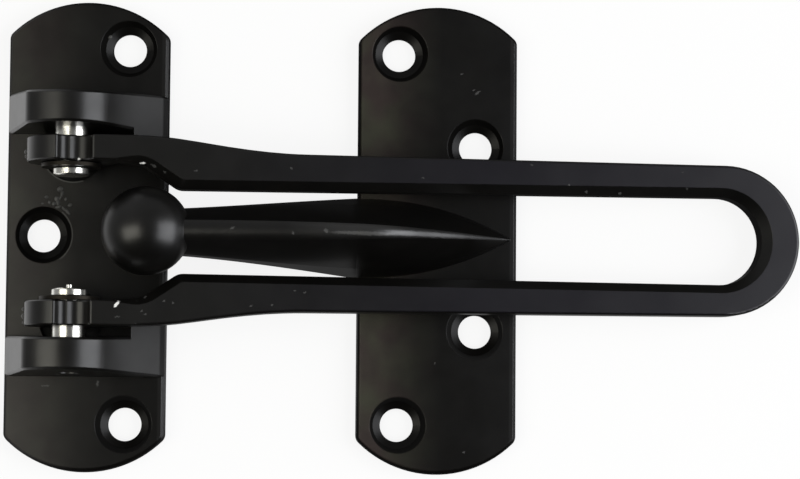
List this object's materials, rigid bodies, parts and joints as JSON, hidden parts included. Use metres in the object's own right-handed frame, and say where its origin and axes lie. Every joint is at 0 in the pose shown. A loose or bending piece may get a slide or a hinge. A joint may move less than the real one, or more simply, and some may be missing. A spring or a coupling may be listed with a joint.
{
  "type": "swing-bar door guard",
  "caption": "Door guard: a looped bar hinged on one plate swings over a ball on a second plate's stem, so the door opens only a crack.",
  "frame": {"origin": "centre of the hinge plate's back face, in the plane of the wall", "axes": "+X along the bar towards the end of its loop, +Y along the hinge pins, +Z out of the wall"},
  "size_m": [0.1243, 0.0738, 0.0203],
  "materials": {
    "black_casting": "satin black",
    "bright_steel": "bright",
    "washer_steel": "dull"
  },
  "bodies": {
    "plates": {"hinge_plate": "black_casting", "ball_plate": "black_casting", "upper_hinge_pin": "bright_steel", "lower_hinge_pin": "bright_steel", "upper_washer": "washer_steel", "lower_washer": "washer_steel"},
    "bar": {"swing_bar": "black_casting"}
  },
  "joints": [
    {"name": "bar_swing", "type": "hinge", "parent": "plates", "child": "bar", "pos_m": [-0.002, 0, 0.0091], "axis": [0, -1, 0], "range_deg": [0, 173.5]}
  ]
}
